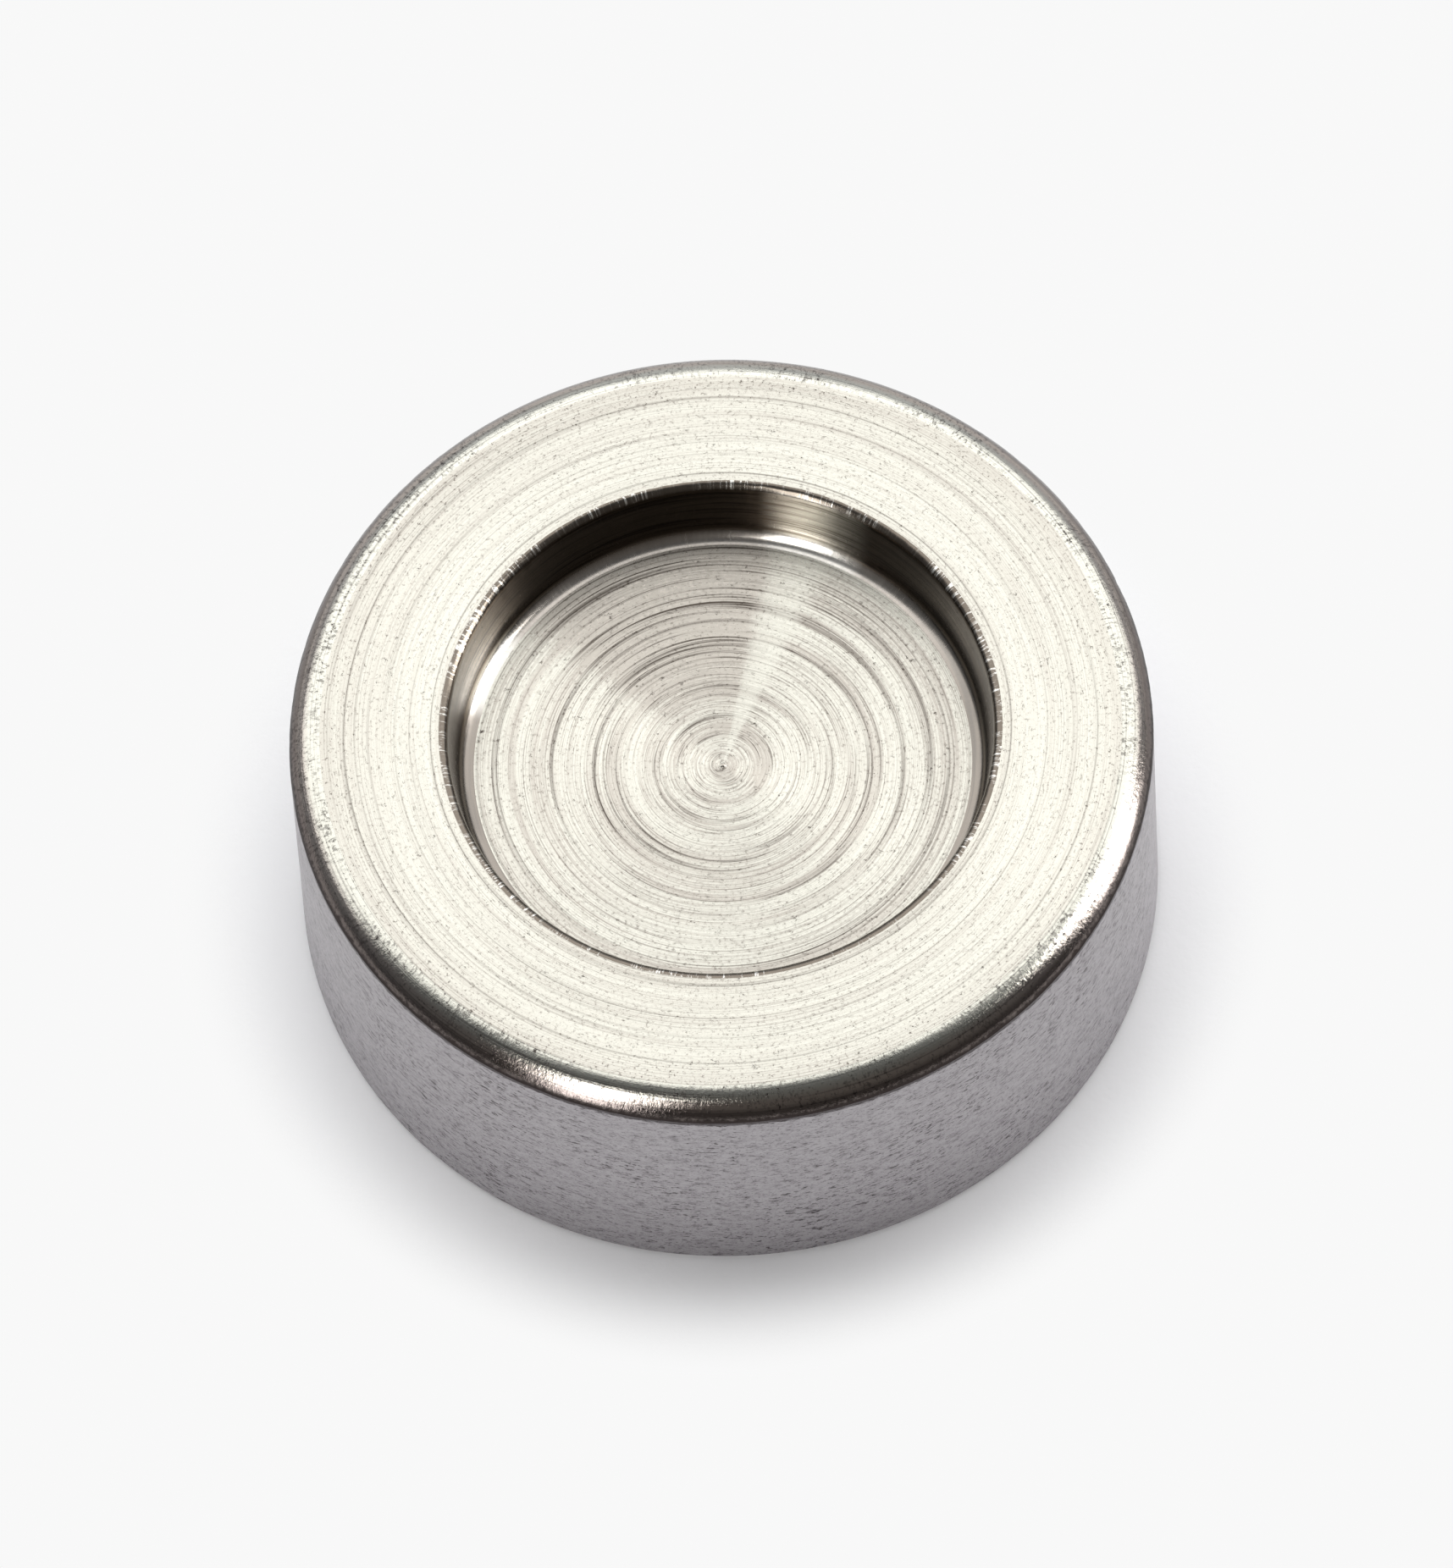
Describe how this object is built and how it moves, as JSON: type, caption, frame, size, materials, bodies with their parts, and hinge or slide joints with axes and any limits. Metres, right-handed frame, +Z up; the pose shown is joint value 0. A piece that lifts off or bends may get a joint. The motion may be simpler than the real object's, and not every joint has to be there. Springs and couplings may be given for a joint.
{
  "type": "steam trap",
  "caption": "Round puck-shaped steam trap with a shallow blind dish in its top, a loose valve disc over a seat inside, and ports and screw holes in its underside.",
  "frame": {"origin": "centre of the underside, on the face that the trap stands on or bolts to", "axes": "+Z up, along the trap's turning axis, from the underside to the dished top; +X through one of the cover screws"},
  "size_m": [0.05, 0.05, 0.0185],
  "materials": {
    "turned_steel": "turned, lightly tumbled, bright",
    "cap_steel": "fine turned",
    "body_steel": "turned, satin",
    "seat_steel": "hardened, lapped on the seat rings",
    "disc_steel": "hardened and lapped",
    "graphite": "flexible graphite sheet",
    "wound_gasket": "spiral-wound steel strip and graphite",
    "screen_steel": "etched sheet",
    "spring_steel": "oil-blackened spring steel",
    "screw_steel": "stainless, machined"
  },
  "bodies": {
    "base": {"base_body": "body_steel", "seat_plate": "seat_steel", "seat_inner_gasket": "graphite", "seat_outer_gasket": "graphite", "cover_gasket": "graphite", "inlet_gasket": "wound_gasket", "outlet_gasket": "wound_gasket", "strainer_screen": "screen_steel", "screen_retaining_ring": "spring_steel", "cover_screws": "screw_steel"},
    "disc": {"valve_disc": "disc_steel"},
    "cover": {"cover": "turned_steel", "inner_cap": "cap_steel"}
  },
  "joints": [
    {"name": "disc_lift", "type": "slide", "parent": "base", "child": "disc", "axis": [0, 0, 1], "range_m": [0, 0.0008]},
    {"name": "cover_lift", "type": "slide", "parent": "base", "child": "cover", "axis": [0, 0, 1], "range_m": [0, 0.03]}
  ]
}
